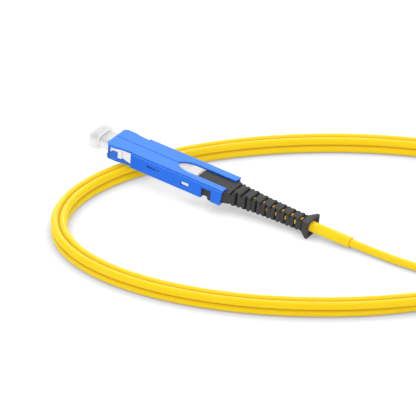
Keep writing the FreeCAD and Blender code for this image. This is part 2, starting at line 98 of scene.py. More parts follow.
JACKET_HIGH = (0.99, 0.69, 0.002)
# Sockets of a Mix node that mixes colours.
MIX_FACTOR, MIX_LOW, MIX_HIGH, MIX_RESULT = 0, 6, 7, 2


class Paint:
    """A socket in a material's node tree. Operators on it add Math nodes."""

    def __init__(self, tree, socket=None):
        self.tree = tree
        self.socket = socket

    def node(self, kind, settings=None, sockets=None, outlet=0):
        """Add a node: settings first, then the values or links of its sockets."""
        made = self.tree.nodes.new(kind)
        for name, value in (settings or {}).items():
            setattr(made, name, value)
        for name, value in (sockets or {}).items():
            if isinstance(value, Paint):
                self.tree.links.new(value.socket, made.inputs[name])
            else:
                made.inputs[name].default_value = value
        return Paint(self.tree, made.outputs[outlet] if made.outputs else None)

    def calculate(self, operation, first, second):
        """Result of a Math node."""
        return self.node("ShaderNodeMath", {"operation": operation}, {0: first, 1: second})

    def __add__(self, other):
        return self.calculate("ADD", self, other)

    def __radd__(self, other):
        return self.calculate("ADD", other, self)

    def __sub__(self, other):
        return self.calculate("SUBTRACT", self, other)

    def __rsub__(self, other):
        return self.calculate("SUBTRACT", other, self)

    def __mul__(self, other):
        return self.calculate("MULTIPLY", self, other)

    def __rmul__(self, other):
        return self.calculate("MULTIPLY", other, self)

    def noise(self, scale, detail=2.0):
        """Noise in the piece's own coordinates, with a scale in cells a metre."""
        place = self.node("ShaderNodeTexCoord", outlet="Object")
        return self.node("ShaderNodeTexNoise", {}, {"Vector": place, "Scale": scale, "Detail": detail})

    def tint(self, low, high):
        """Colour that goes from low to high as this value goes from 0 to 1."""
        low, high = [end if isinstance(end, Paint) else (*end, 1.0) for end in (low, high)]
        return self.node("ShaderNodeMix", {"data_type": "RGBA"},
                         {MIX_FACTOR: self, MIX_LOW: low, MIX_HIGH: high}, outlet=MIX_RESULT)

    def openness(self, reach, alone=False):
        """Value that falls from 1 on open faces to 0 in corners and grooves, felt within a reach.

        Alone, a piece feels only its own faces. The materials use it to paint shade into their colours.
        """
        return self.node("ShaderNodeAmbientOcclusion", {"samples": 16, "only_local": alone},
                         {"Distance": reach}, outlet="AO")

    def rounded(self, radius):
        """Normal that turns smoothly over the edges, as a moulded corner of that radius does."""
        return self.node("ShaderNodeBevel", {"samples": 6}, {"Radius": radius})

    def edge(self, rounded):
        """Value that rises from 0 on flats along the rounded edges; the shell paints a highlight with it.
        """
        flat = self.node("ShaderNodeNewGeometry", outlet="True Normal")
        return 1 - self.node("ShaderNodeVectorMath", {"operation": "DOT_PRODUCT"},
                             {0: rounded, 1: flat}, outlet="Value")

    def lying(self):
        """Value that is 0 on walls and 1 or more on faces at 45 degrees or flatter, for painting flat
        faces lighter or darker than walls.
        """
        normal = self.node("ShaderNodeNewGeometry", outlet="Normal")
        level = self.node("ShaderNodeSeparateXYZ", {}, {"Vector": normal}, outlet="Z")
        return level * level * 2.0

    def relief(self, height, depth, strength, normal=None):
        """Normal bent by a fine relief, on top of another normal if one is given."""
        sockets = {"Height": height, "Distance": depth, "Strength": strength}
        if normal:
            sockets["Normal"] = normal
        return self.node("ShaderNodeBump", {}, sockets)


def new_material(name):
    """Material with an empty node tree, and the handle that its nodes are made from."""
    material = bpy.data.materials.new(name)
    material.use_nodes = True
    material.node_tree.nodes.clear()
    return material, Paint(material.node_tree)


def surface(paint, sockets):
    """Principled surface of the material."""
    shader = paint.node("ShaderNodeBsdfPrincipled", {}, sockets)
    paint.node("ShaderNodeOutputMaterial", {}, {"Surface": shader})


def jacket_material(name, painted_shade, low, high):
    """Soft extruded plastic: a little uneven in colour, satin, finely grained, with painted shade
    deepening it in its grooves.
    """
    material, paint = new_material(name)
    cloud = paint.noise(scale=160.0)
    grain = paint.noise(scale=5200.0, detail=3.0)
    surface(paint, {
        # Painted shade: the colour deepens to orange in grooves and where strands touch.
        "Base Color": paint.openness(reach=0.7 * MM).tint(painted_shade, cloud.tint(low, high)),
        "Roughness": 0.34 + grain * 0.1,
        "Normal": paint.relief(grain, depth=0.02 * MM, strength=0.15),
        "Specular IOR Level": 0.22,
        "Subsurface Weight": 0.3,
        "Subsurface Radius": (0.9 * MM, 0.6 * MM, 0.05 * MM),
        "Subsurface Scale": 1.0,
    })
    return material


coil_low, coil_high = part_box("cord_coil")
coil_centre = (coil_low + coil_high) / 2
coil_centre.z = 0.0
mounts = {mount["name"]: mount for mount in frame["record"]["mounts"]}


def plug_direction(plug):
    """Direction from a plug's front to its back."""
    return -Vector(mounts[plug + "_plug_front"]["axis"])


def plug_axis(plug, station):
    """Point on a plug's axis, by its distance behind the front of the slide housing."""
    ferrule_tip = Vector(mounts[plug + "_plug_front"]["pos_m"])
    return ferrule_tip + plug_direction(plug) * (station - FERRULE_FRONT)


def coil_point(angle, side):
    """Centre of a strand in the coil, by its angle along the turns.

    The lower turn lies straight under the upper one at the front, and a little forward of it at the back.
    """
    down = min(max((angle - DESCENT_START) / (DESCENT_END - DESCENT_START), 0.0), 1.0)
    down = down * down * (3 - 2 * down)
    level = UPPER_LEVEL + (LOWER_LEVEL - UPPER_LEVEL) * down
    sideways = SIDE[side] * STRAND_PITCH / 2
    turn = math.radians(angle)
    x = (COIL_LONG_RADIUS + sideways) * math.cos(turn)
    y = (COIL_SHORT_RADIUS + sideways) * math.sin(turn)
    y -= LOWER_TURN_INSET * down * (1 + math.sin(turn)) / 2
    flat = Vector((x * math.cos(COIL_TURN) - y * math.sin(COIL_TURN),
                   x * math.sin(COIL_TURN) + y * math.cos(COIL_TURN) + COIL_SHIFT, level))
    return coil_centre + flat


def coil_points(side):
    """Centre line of a strand through both turns."""
    steps = round((COIL_LAST - COIL_FIRST) / COIL_STEP)
    return [coil_point(COIL_FIRST + COIL_STEP * step, side) for step in range(steps + 1)]


def leg_points(plug):
    """Route of a strand from its plug's sleeve to the coil."""
    out = [plug_axis(plug, ROUTE_START), plug_axis(plug, ROUTE_LEAVE)]
    return out + [coil_centre + Vector(point) * MM for point in ROUTES[plug]]


def add_object(name, data):
    """Object in the scene, made of a mesh or other data."""
    made = bpy.data.objects.new(name, data)
    bpy.context.scene.collection.objects.link(made)
    return made


def smooth_curve(name, points):
    """Curve object of one open, smooth spline."""
    curve = bpy.data.curves.new(name, "CURVE")
    curve.dimensions = "3D"
    curve.resolution_u = CURVE_STEPS
    spline = curve.splines.new("NURBS")
    spline.points.add(len(points) - 1)
    for control, point in zip(spline.points, points):
        control.co = (*point, 1.0)
    spline.order_u = CURVE_ORDER
    spline.use_endpoint_u = True
    return add_object(name, curve)


def keep_colour_off_floor(piece):
    """Hide a piece from the light that surfaces throw on each other, so that it doesn't tint the paper."""
    piece.visible_diffuse = False


yellow_jacket = jacket_material("yellow_jacket", JACKET_GROOVE_SHADE, JACKET_LOW, JACKET_HIGH)
for name, side, first, last, length in STRANDS:
    route = leg_points(first) + coil_points(side) + leg_points(last)[::-1]
    strand = smooth_curve(name, route)
    strand.data.bevel_depth = STRAND_RADIUS
    strand.data.bevel_resolution = STRAND_FACETS
    strand.data.use_fill_caps = True
    strand.data.materials.append(yellow_jacket)
    keep_colour_off_floor(strand)
    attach(strand, "cord")
    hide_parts("cord_coil", first + "_leg", last + "_leg")

# Web: the thin strip that joins the two jackets into one flat twin cord, extruded with them from the same
# plastic.
# Its darker orange is painted shade for the groove, darker still in its own corners. It ends where the
# strands part.
WEB_WIDTH = 0.3 * MM
WEB_THICKNESS = 0.95 * MM
# Darker orange painted on the web as shade in the groove between the strands.
WEB_DEEPER_SHADE = (0.62, 0.24, 0.001)
WEB_SHADED_LOW = (0.72, 0.32, 0.001)
WEB_SHADED_HIGH = (0.78, 0.36, 0.002)


def new_tree(name, kinds):
    """Geometry node tree with named inputs, by their kinds, and a material. Gives its inlet too."""
    tree = bpy.data.node_groups.new(name, "GeometryNodeTree")
    for label, kind in (*kinds.items(), ("Finish", "Material")):
        tree.interface.new_socket(label, in_out="INPUT", socket_type="NodeSocket" + kind)
    tree.interface.new_socket("Result", in_out="OUTPUT", socket_type="NodeSocketGeometry")
    return tree, tree.nodes.new("NodeGroupInput")


def end_tree(tree, inlet, geometry):
    """Last nodes of a tree: real geometry in its material."""
    realize = tree.nodes.new("GeometryNodeRealizeInstances")
    finish = tree.nodes.new("GeometryNodeSetMaterial")
    outlet = tree.nodes.new("NodeGroupOutput")
    tree.links.new(geometry, realize.inputs["Geometry"])
    tree.links.new(realize.outputs["Geometry"], finish.inputs["Geometry"])
    tree.links.new(inlet.outputs["Finish"], finish.inputs["Material"])
    tree.links.new(finish.outputs["Geometry"], outlet.inputs["Result"])


def web_nodes():
    """Strip swept along a route, with its profile upright."""
    kinds = {"Route": "Geometry", "Width": "Float", "Thickness": "Float"}
    tree, inlet = new_tree("twin_cord_web", kinds)
    link = tree.links.new
    upright = tree.nodes.new("GeometryNodeSetCurveNormal")
    upright.mode = "Z_UP"
    profile = tree.nodes.new("GeometryNodeCurvePrimitiveQuadrilateral")
    sweep = tree.nodes.new("GeometryNodeCurveToMesh")
    sweep.inputs["Fill Caps"].default_value = True
    link(inlet.outputs["Route"], upright.inputs["Curve"])
    link(inlet.outputs["Width"], profile.inputs["Width"])
    link(inlet.outputs["Thickness"], profile.inputs["Height"])
    link(upright.outputs["Curve"], sweep.inputs["Curve"])
    link(profile.outputs["Curve"], sweep.inputs["Profile Curve"])
    end_tree(tree, inlet, sweep.outputs["Mesh"])
    return tree


def made_by_nodes(carrier, name, tree, inputs):
    """Plain mesh object of what a node tree makes on a carrier object, which is removed."""
    modifier = carrier.modifiers.new(name, "NODES")
    modifier.node_group = tree
    for item in tree.interface.items_tree:
        if item.in_out == "INPUT" and item.name in inputs:
            modifier[item.identifier] = inputs[item.name]
    made = add_object(name, evaluated_mesh(carrier))
    bpy.data.objects.remove(carrier)
    return made


def evaluated_mesh(piece):
    """Mesh of a piece as its modifiers leave it."""
    bpy.context.view_layer.update()
    evaluated = piece.evaluated_get(bpy.context.evaluated_depsgraph_get())
    return bpy.data.meshes.new_from_object(evaluated)


middle = [(inner + outer) / 2 for inner, outer in zip(coil_points("inner"), coil_points("outer"))]
# The web's colours are painted groove shade, darker than the jackets.
shaded_groove_jacket = jacket_material("shaded_groove_jacket", WEB_DEEPER_SHADE, WEB_SHADED_LOW, WEB_SHADED_HIGH)
web = made_by_nodes(smooth_curve("web_route", middle), "twin_cord_web", web_nodes(),
                    {"Width": WEB_WIDTH, "Thickness": WEB_THICKNESS, "Finish": shaded_groove_jacket})
keep_colour_off_floor(web)
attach(web, "cord")

# Sleeves: a thicker yellow tube over the end of each strand, of the same plastic as its jacket. It runs
# from inside the boot to a little way behind it and ends in a plain cut.
PLUGS = ("a1", "a2", "b1", "b2")
WELD_DISTANCE = 0.0005 * MM


def dress(node, material):
    """CAD piece in its material, with its faces joined."""
    piece = frame["nodes"][node]
    for place in piece.material_slots:
        place.material = material
    weld = piece.modifiers.new("join_faces", "WELD")
    weld.merge_threshold = WELD_DISTANCE
    return piece


for plug in PLUGS:
    sleeve = dress(plug + "_leg_sleeve", yellow_jacket)
    keep_colour_off_floor(sleeve)

# Boots: charcoal rubber, moulded in one with the block in the slide housing's slot and the ears in its
# side windows. The tail is cut from alternate sides into soft links so that it bends, and ends in a
# square flare. The cuts are deepest in the middle, where they show a little of the yellow jacket.
CUT_GAP = 0.45 * MM
LINK_PITCH = 2.33 * MM
LINK_COUNT = 6
LINK_FIRST = 33.28 * MM
LINK_WIDTHS = (2.02 * MM, 1.47 * MM)
LINK_HEIGHTS = (1.65 * MM, 1.42 * MM)
LINK_TAPER = 0.6
# Corners and cuts, as shares of a half size. A cut's floor rises to its rim by a power.
LINK_CORNER = 0.2
FLARE_CORNER = 0.1
CUT_FLOOR = {"top": 0.58, "side": 0.56}
CUT_RIM = 0.72
CUT_CURVE = 3
# Rounding towards a cut: a distance from it in millimetres and a share of the half size.
LINK_ROUNDING = ((0.0, 0.88), (0.05, 0.95), (0.18, 1.0))
# Stations in millimetres: a place along the plug, a half width and a half height.
BLOCK = ((21.9, 3.15, 1.20), (22.0, 3.25, 1.30), (29.45, 3.25, 1.30))
PAD = ((21.9, 1.62, 1.30), (22.0, 1.725, 1.40), (30.6, 1.725, 1.40), (30.7, 1.65, 1.34))
EARS = ((25.7, 3.20, 1.20), (26.15, 3.60, 1.25), (26.3, 3.65, 1.25), (26.7, 3.65, 1.25),
        (26.75, 3.60, 1.22))
EARS_DROP = -0.45 * MM
SHOULDERS = ((29.45, 3.25, 1.30), (30.8, 2.58, 1.38), (31.3, 2.5, 1.60), (32.0, 2.22, 1.65),
             (33.3, 2.05, 1.65))
TAIL_END = ((47.2, 1.47, 1.42), (47.9, 1.40, 1.36))
FLARE = ((47.9, 1.40, 1.36), (49.36, 2.40, 1.87), (49.42, 2.43, 1.89), (49.84, 2.43, 1.89),
         (49.9, 2.37, 1.84), (49.9, 1.95, 1.58), (49.5, 1.50, 1.45))
BOOT_CORNER_STEPS = 4
BOOT_SIDE_STEPS = 8
BOOT_SHARP_ANGLE = math.radians(28)
# Near black painted into the rubber's cuts and corners as shade, then the rubber's own charcoal.
RUBBER_CUT_SHADE = (0.003, 0.003, 0.003)
RUBBER_LOW = (0.052, 0.052, 0.051)
RUBBER_HIGH = (0.062, 0.062, 0.061)


def boot_ring(radius, cut):
    """Points round a soft square of half size 1, sunk towards the middle of two sides by a cut."""
    corner = 1 - radius
    quarter = []
    for step in range(BOOT_CORNER_STEPS):
        angle = step / BOOT_CORNER_STEPS * math.pi / 2
        quarter.append((corner + radius * math.cos(angle), corner + radius * math.sin(angle)))
    for step in range(BOOT_SIDE_STEPS):
        quarter.append((corner - 2 * corner * step / BOOT_SIDE_STEPS, 1.0))
    points = []
    for _ in range(4):
        points += quarter
        quarter = [(-z, y) for y, z in quarter]
    if cut == "top":
        return [(y, sunk(z, y, CUT_FLOOR[cut])) for y, z in points]
    if cut == "side":
        return [(sunk(y, z, CUT_FLOOR[cut]), z) for y, z in points]
    return points


def sunk(height, along, floor):
    """Height of a point kept under the curved floor of a cut."""
    limit = floor + (CUT_RIM - floor) * abs(along) ** CUT_CURVE
    return math.copysign(min(abs(height), limit), height)


def loft(shape, stations, radius, drop):
    """Closed skin through stations: a place along the plug, a half width, a half height and a cut."""
    rings = []
    for place, half_width, half_height, cut in stations:
        rings.append([shape.verts.new((place, y * half_width, drop + z * half_height))
                      for y, z in boot_ring(radius, cut)])
    for first, second in zip(rings, rings[1:]):
        for index, corner in enumerate(first):
            after = (index + 1) % len(first)
            shape.faces.new((corner, first[after], second[after], second[index]))
    shape.faces.new(rings[0])
    shape.faces.new(rings[-1])


def plain_stations(rows):
    """Stations of a table, without cuts."""
    return [(place * MM, half_width * MM, half_height * MM, None)
            for place, half_width, half_height in rows]


def size_between(rows, place):
    """Half width and half height at a place, between two rows of a table."""
    for (low, *first), (high, *second) in zip(rows, rows[1:]):
        if place <= high * MM:
            share = (place / MM - low) / (high - low)
            return [(a + (b - a) * share) * MM for a, b in zip(first, second)]


def shoulder_size(place):
    """Half sizes of the tail's front end."""
    return size_between(SHOULDERS, place)


def tail_end_size(place):
    """Half sizes of the tail's back end."""
    return size_between(TAIL_END, place)


def unit_size(place):
    """Half sizes of a link that is scaled later."""
    return 1.0, 1.0


def cut_stations(start, end, cut, size):
    """Both ends of a cut."""
    return [(place, *size(place), cut) for place in (start, end)]


def link_stations(start, end, before, after, size):
    """Stretch between two cuts, rounded over towards each of them."""
    rows = [(start + inset * MM, share, before) for inset, share in LINK_ROUNDING]
    rows += [(end - inset * MM, share, after) for inset, share in LINK_ROUNDING[::-1]]
    stations = []
    for place, share, cut in rows:
        half_width, half_height = size(place)
        if cut == "top":
            half_height *= share
        else:
            half_width *= share
        stations.append((place, half_width, half_height, None))
    return stations


def one_link(start, size):
    """Stations from the middle of one top cut to the middle of the next, with a side cut between."""
    middle = start + LINK_PITCH / 2
    end = start + LINK_PITCH
    half_gap = CUT_GAP / 2
    return (cut_stations(start, start + half_gap, "top", size)
            + link_stations(start + half_gap, middle - half_gap, "top", "side", size)
            + cut_stations(middle - half_gap, middle + half_gap, "side", size)
            + link_stations(middle + half_gap, end - half_gap, "side", "top", size)
            + cut_stations(end - half_gap, end, "top", size))


def mesh_of(name, shape):
    """Mesh of a shape, which is freed."""
    mesh = bpy.data.meshes.new(name)
    shape.to_mesh(mesh)
    shape.free()
    return mesh


def lofted_mesh(name, *skins):
    """Mesh of several skins, each its stations, its corner radius and its drop from the axis."""
    shape = bmesh.new()
    for stations, radius, drop in skins:
        loft(shape, stations, radius, drop)
    bmesh.ops.recalc_face_normals(shape, faces=shape.faces)
    return mesh_of(name, shape)


def link_nodes():
    """Links set in a row, each a little smaller than the one before."""
    kinds = {"Link": "Geometry", "Count": "Int", "Pitch": "Float", "Taper": "Float"}
    kinds.update({f"{end} {size}": "Float" for size in ("Width", "Height") for end in ("First", "Last")})
    tree, inlet = new_tree("boot_links", kinds)
    link = tree.links.new

    def calculate(operation, first, second):
        """Result of a Math node on a socket and a second socket or number."""
        made = tree.nodes.new("ShaderNodeMath")
        made.operation = operation
        link(first, made.inputs[0])
        if isinstance(second, float):
            made.inputs[1].default_value = second
        else:
            link(second, made.inputs[1])
        return made.outputs["Value"]

    row = tree.nodes.new("GeometryNodeMeshLine")
    step = tree.nodes.new("ShaderNodeCombineXYZ")
    link(inlet.outputs["Count"], row.inputs["Count"])
    link(inlet.outputs["Pitch"], step.inputs["X"])
    link(step.outputs["Vector"], row.inputs["Offset"])
    index = tree.nodes.new("GeometryNodeInputIndex").outputs["Index"]
    share = calculate("DIVIDE", index, calculate("SUBTRACT", inlet.outputs["Count"], 1.0))
    eased = calculate("POWER", share, inlet.outputs["Taper"])
    scale = tree.nodes.new("ShaderNodeCombineXYZ")
    scale.inputs["X"].default_value = 1.0
    for axis, size in (("Y", "Width"), ("Z", "Height")):
        between = tree.nodes.new("ShaderNodeMapRange")
        link(eased, between.inputs["Value"])
        link(inlet.outputs["First " + size], between.inputs["To Min"])
        link(inlet.outputs["Last " + size], between.inputs["To Max"])
        link(between.outputs["Result"], scale.inputs[axis])
    place = tree.nodes.new("GeometryNodeInstanceOnPoints")
    link(row.outputs["Mesh"], place.inputs["Points"])
    link(inlet.outputs["Link"], place.inputs["Instance"])
    link(scale.outputs["Vector"], place.inputs["Scale"])
    end_tree(tree, inlet, place.outputs["Instances"])
    return tree


def charcoal_rubber_material():
    """Moulded rubber: dull, with a fine spark-eroded grain, and painted shade that darkens it in its cuts
    and corners.
    """
    material, paint = new_material("charcoal_rubber")
    cloud = paint.noise(scale=260.0)
    grain = paint.noise(scale=9000.0, detail=3.0)
    open_rubber = cloud.tint(RUBBER_LOW, RUBBER_HIGH)
    surface(paint, {
        # Painted shade: near black in the cuts and corners of the boot.
        "Base Color": paint.openness(reach=0.9 * MM).tint(RUBBER_CUT_SHADE, open_rubber),
        "Roughness": 0.5 + grain * 0.2,
        "Specular IOR Level": 0.12,
        "Normal": paint.relief(grain, depth=0.03 * MM, strength=0.35),
    })
    return material


def plug_place(plug):
    """Matrix that takes a point from a plug's own axes to the model."""
    along = plug_direction(plug)
    up = (Vector((0.0, 0.0, 1.0)) - along * along.z).normalized()
    turn = Matrix((along, up.cross(along), up)).transposed()
    return Matrix.Translation(plug_axis(plug, 0.0)) @ turn.to_4x4()


charcoal_rubber = charcoal_rubber_material()
first_cut = LINK_FIRST - LINK_PITCH
first_wall = first_cut - CUT_GAP / 2
front_end = (plain_stations(SHOULDERS[:1])
             + [(first_wall, *shoulder_size(first_wall), None)]
             + cut_stations(first_wall, first_cut, "top", shoulder_size)
             + one_link(first_cut, shoulder_size))
last_cut = LINK_FIRST + LINK_COUNT * LINK_PITCH
last_wall = last_cut + CUT_GAP / 2
tail_tip = TAIL_END[-1][0] * MM
last_link = link_stations(last_wall, tail_tip, "top", "top", tail_end_size)
# The last link runs into the flare, so it isn't rounded over there.
last_link = last_link[:len(LINK_ROUNDING) + 1]
back_end = cut_stations(last_cut, last_wall, "top", tail_end_size) + last_link
boot_ends = lofted_mesh(
    "boot_ends",
    (plain_stations(BLOCK), FLARE_CORNER, 0.0),
    (plain_stations(PAD), FLARE_CORNER, 0.0),
    (plain_stations(EARS), FLARE_CORNER, EARS_DROP),
    (front_end, LINK_CORNER, 0.0),
    (back_end, LINK_CORNER, 0.0),
    (plain_stations(FLARE), FLARE_CORNER, 0.0))
link_mesh = lofted_mesh("boot_link", (one_link(0.0, unit_size), LINK_CORNER, 0.0))
links = made_by_nodes(add_object("boot_link", link_mesh), "boot_links", link_nodes(), {
    "Count": LINK_COUNT, "Pitch": LINK_PITCH, "Taper": LINK_TAPER, "Finish": charcoal_rubber,
    "First Width": LINK_WIDTHS[0], "Last Width": LINK_WIDTHS[1],
    "First Height": LINK_HEIGHTS[0], "Last Height": LINK_HEIGHTS[1]})
links.data.transform(Matrix.Translation((LINK_FIRST, 0.0, 0.0)))
for plug in PLUGS:
    shape = bmesh.new()
    shape.from_mesh(boot_ends)
    shape.from_mesh(links.data)
    shape.transform(plug_place(plug))
    boot_mesh = mesh_of(plug + "_rubber_boot", shape)
    boot_mesh.materials.append(charcoal_rubber)
    boot_mesh.shade_smooth()
    boot_mesh.set_sharp_from_angle(angle=BOOT_SHARP_ANGLE)
    boot = add_object(plug + "_rubber_boot", boot_mesh)
    keep_colour_off_floor(boot)
    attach(boot, "cord")
    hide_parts(plug + "_boot")
bpy.data.objects.remove(links)

# Plug frames: white plastic, moulded in one and pushed into the slide housing from behind. They hold the
# ferrule units and show through the housing's windows and slot.
FRAME_EDGE = 0.06 * MM
# Greys of the walls, then the darker grey of flat faces, which is painted shade.
FRAME_WALLS = (0.88, 0.92)
FRAME_FLAT_SHADE = 0.64
EDGE_SEGMENTS = 2
FLAT_ANGLE = math.radians(0.5)
SHARP_ANGLE = math.radians(30)


def grey(level):
    """The same level three times."""
    return level, level, level


def white_plastic_material():
    """Filled white plastic: matt, barely uneven, with painted shade making its flat faces darker than its
    walls.
    """
    material, paint = new_material("white_plastic")
    cloud = paint.noise(scale=300.0)
    grain = paint.noise(scale=6000.0, detail=3.0)
    walls = cloud.tint(grey(FRAME_WALLS[0]), grey(FRAME_WALLS[1]))
    surface(paint, {
        # Painted shade: flat faces are darker than walls.
        "Base Color": paint.lying().tint(walls, grey(FRAME_FLAT_SHADE)),
        "Roughness": 0.4 + grain * 0.15,
        "Normal": paint.relief(grain, depth=0.02 * MM, strength=0.2),
    })
    return material


def ease_edges(piece, width):
    """Small round on every sharp edge."""
    flat = piece.modifiers.new("merge_flats", "DECIMATE")
    flat.decimate_type = "DISSOLVE"
    flat.angle_limit = FLAT_ANGLE
    ease = piece.modifiers.new("ease_edges", "BEVEL")
    ease.width = width
    ease.segments = EDGE_SEGMENTS
    ease.limit_method = "ANGLE"
    ease.angle_limit = SHARP_ANGLE
    ease.use_clamp_overlap = True
    even = piece.modifiers.new("even_shading", "WEIGHTED_NORMAL")
    even.keep_sharp = True


white_plastic = white_plastic_material()
for plug in PLUGS:
    plug_frame = dress(plug + "_plug_frame", white_plastic)
    ease_edges(plug_frame, FRAME_EDGE)
    keep_colour_off_floor(plug_frame)

# Ferrule units: a ground ceramic ferrule pressed into a turned collar, with the stop ring behind it and
# the sleeve crimped over the strand's yarn. They are inside the plug.
# Share of the metal's colour left in its corners by painted shade.
CORNER_SHADE_SHARE = 0.15
CERAMIC_LOW = (0.80, 0.79, 0.74)
CERAMIC_HIGH = (0.86, 0.85, 0.81)
NICKEL_LOW = (0.62, 0.60, 0.55)
NICKEL_HIGH = (0.74, 0.72, 0.67)
CRIMP_LOW = (0.52, 0.36, 0.14)
CRIMP_HIGH = (0.62, 0.44, 0.20)


def ceramic_material():
    """Ground white ceramic."""
    material, paint = new_material("ground_ceramic")
    grain = paint.noise(scale=7000.0)
    surface(paint, {
        "Base Color": grain.tint(CERAMIC_LOW, CERAMIC_HIGH),
        "Roughness": 0.12 + grain * 0.1,
    })
    return material


def metal_material(name, low, high, roughness):
    """Worked metal with fine uneven marks, and painted shade that darkens its corners."""
    material, paint = new_material(name)
    marks = paint.noise(scale=4000.0, detail=4.0)
    corner_shade = [CORNER_SHADE_SHARE * part for part in low]
    surface(paint, {
        # Painted shade: the metal darkens in its corners.
        "Base Color": paint.openness(reach=0.8 * MM).tint(corner_shade, marks.tint(low, high)),
        "Metallic": 1.0,
        "Roughness": roughness + marks * 0.15,
        "Normal": paint.relief(marks, depth=0.01 * MM, strength=0.2),
    })
    return material


turned_nickel = metal_material("turned_nickel", NICKEL_LOW, NICKEL_HIGH, roughness=0.22)
inner_finishes = {
    "ferrule": ceramic_material(),
    "ferrule_holder": turned_nickel,
    "stop_ring": turned_nickel,
    "crimp_sleeve": metal_material("plated_crimp", CRIMP_LOW, CRIMP_HIGH, roughness=0.4),
}
for plug in PLUGS:
    for piece_name, finish in inner_finishes.items():
        dress(f"{plug}_{piece_name}", finish)

# Springs: steel wire wound in five open turns between the ferrule's collar and the stop ring.
SPRING_GREYS = (0.42, 0.56)


def joined_shape(node, place=Matrix.Identity(4)):
    """Shape of a CAD piece, moved by a matrix, with its faces joined."""
    shape = bmesh.new()
    shape.from_mesh(frame["nodes"][node].data)
    shape.transform(place)
    bmesh.ops.remove_doubles(shape, verts=shape.verts, dist=WELD_DISTANCE)
    return shape


spring_wire = metal_material("spring_wire", grey(SPRING_GREYS[0]), grey(SPRING_GREYS[1]), roughness=0.28)
for plug in PLUGS:
    spring_mesh = mesh_of(plug + "_wound_spring", joined_shape(plug + "_spring"))
    spring_mesh.materials.append(spring_wire)
    spring = add_object(plug + "_wound_spring", spring_mesh)
    along = plug_direction(plug)
    reach = [vertex.co.dot(along) for vertex in spring_mesh.vertices]
    spring_back = plug_axis(plug, 0.0)
    spring_back += along * (max(reach) - spring_back.dot(along))
    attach(spring, "cord")
    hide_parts(plug + "_spring")
    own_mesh(spring)

# Slide housings: the blue shell that a finger pushes and pulls, moulded in satin plastic and clipped
# round the frame and the boot's block. A low step is moulded along each top edge, and a short grip slot
# in each side.
HOUSING_EDGE = 0.06 * MM
# Places and sizes in a plug's own axes, in millimetres.
HOUSING_HALF_WIDTH = 3.85
HOUSING_HALF_HEIGHT = 1.8
EDGE_STEP_SPAN = (6.7, 30.0)
EDGE_STEP_WIDTH = 0.45
EDGE_STEP_DEPTH = 0.15
GRIP_SLOT_SPAN = (10.7, 12.95)
GRIP_SLOT_LEVELS = (0.12, 0.86)
GRIP_SLOT_DEPTH = 0.3
CUTTER_OVERSHOOT = 1.0
# Blue of walls with painted shade, then of flat faces with painted light.
SHELL_SHADED_WALL_LOW = (0.004, 0.145, 0.83)
SHELL_SHADED_WALL_HIGH = (0.007, 0.17, 0.86)
SHELL_LIT_FLAT_LOW = (0.005, 0.19, 0.95)
SHELL_LIT_FLAT_HIGH = (0.009, 0.22, 0.98)
# Lighter blue of the painted highlight along the shell's edges.
SHELL_EDGE_HIGHLIGHT = (0.06, 0.34, 1.0)
# Painted shade in the shell's windows, then in its fine grooves.
SHELL_SHADE = (0.001, 0.04, 0.36)
SHELL_GROOVE_SHADE = (0.001, 0.05, 0.42)
# Strength of the painted edge highlight.
SHELL_HIGHLIGHT_GAIN = 2.0


def blue_shell_material():
    """Satin blue plastic with painted light and shade: flat faces lighter than walls, a painted highlight
    along its edges, and painted shade in its windows and grooves.
    """
    material, paint = new_material("blue_shell")
    cloud = paint.noise(scale=220.0)
    grain = paint.noise(scale=8000.0, detail=3.0)
    rounded = paint.rounded(radius=0.3 * MM)
    walls = cloud.tint(SHELL_SHADED_WALL_LOW, SHELL_SHADED_WALL_HIGH)
    # Painted light and shade: flat faces are a lighter blue than walls.
    body = paint.lying().tint(walls, cloud.tint(SHELL_LIT_FLAT_LOW, SHELL_LIT_FLAT_HIGH))
    # Painted highlight: lighter blue along convex and hollow edges alike.
    edge_lit = (paint.edge(rounded) * SHELL_HIGHLIGHT_GAIN).tint(body, SHELL_EDGE_HIGHLIGHT)
    # Painted shade: darker blue in the shell's windows and hollows.
    shaded = paint.openness(reach=2.5 * MM, alone=True).tint(SHELL_SHADE, edge_lit)
    surface(paint, {
        # Painted shade: darker blue in fine grooves and where other pieces come close.
        "Base Color": paint.openness(reach=0.6 * MM).tint(SHELL_GROOVE_SHADE, shaded),
        "Roughness": 0.36 + grain * 0.12,
        "Specular IOR Level": 0.28,
        "Normal": paint.relief(grain, depth=0.02 * MM, strength=0.2, normal=rounded),
    })
    return material


def add_cutter(shape, span, depth, levels, side):
    """Box that cuts into one side of the housing: its span along the plug, its depth and its levels."""
    inside = HOUSING_HALF_WIDTH - depth
    outside = HOUSING_HALF_WIDTH + CUTTER_OVERSHOOT
    across = sorted((side * inside, side * outside))
    low, high = [Vector(corner) * MM for corner in zip(span, across, levels)]
    size = Matrix.Diagonal((*(high - low), 1.0))
    bmesh.ops.create_cube(shape, size=1.0, matrix=Matrix.Translation((low + high) / 2) @ size)


def mark_cutters():
    """Boxes that cut the edge steps and the grip slots."""
    shape = bmesh.new()
    step_levels = (HOUSING_HALF_HEIGHT - EDGE_STEP_DEPTH, HOUSING_HALF_HEIGHT + CUTTER_OVERSHOOT)
    for side in (-1, 1):
        add_cutter(shape, EDGE_STEP_SPAN, EDGE_STEP_WIDTH, step_levels, side)
        add_cutter(shape, GRIP_SLOT_SPAN, GRIP_SLOT_DEPTH, GRIP_SLOT_LEVELS, side)
    return add_object("mark_cutters", mesh_of("mark_cutters", shape))


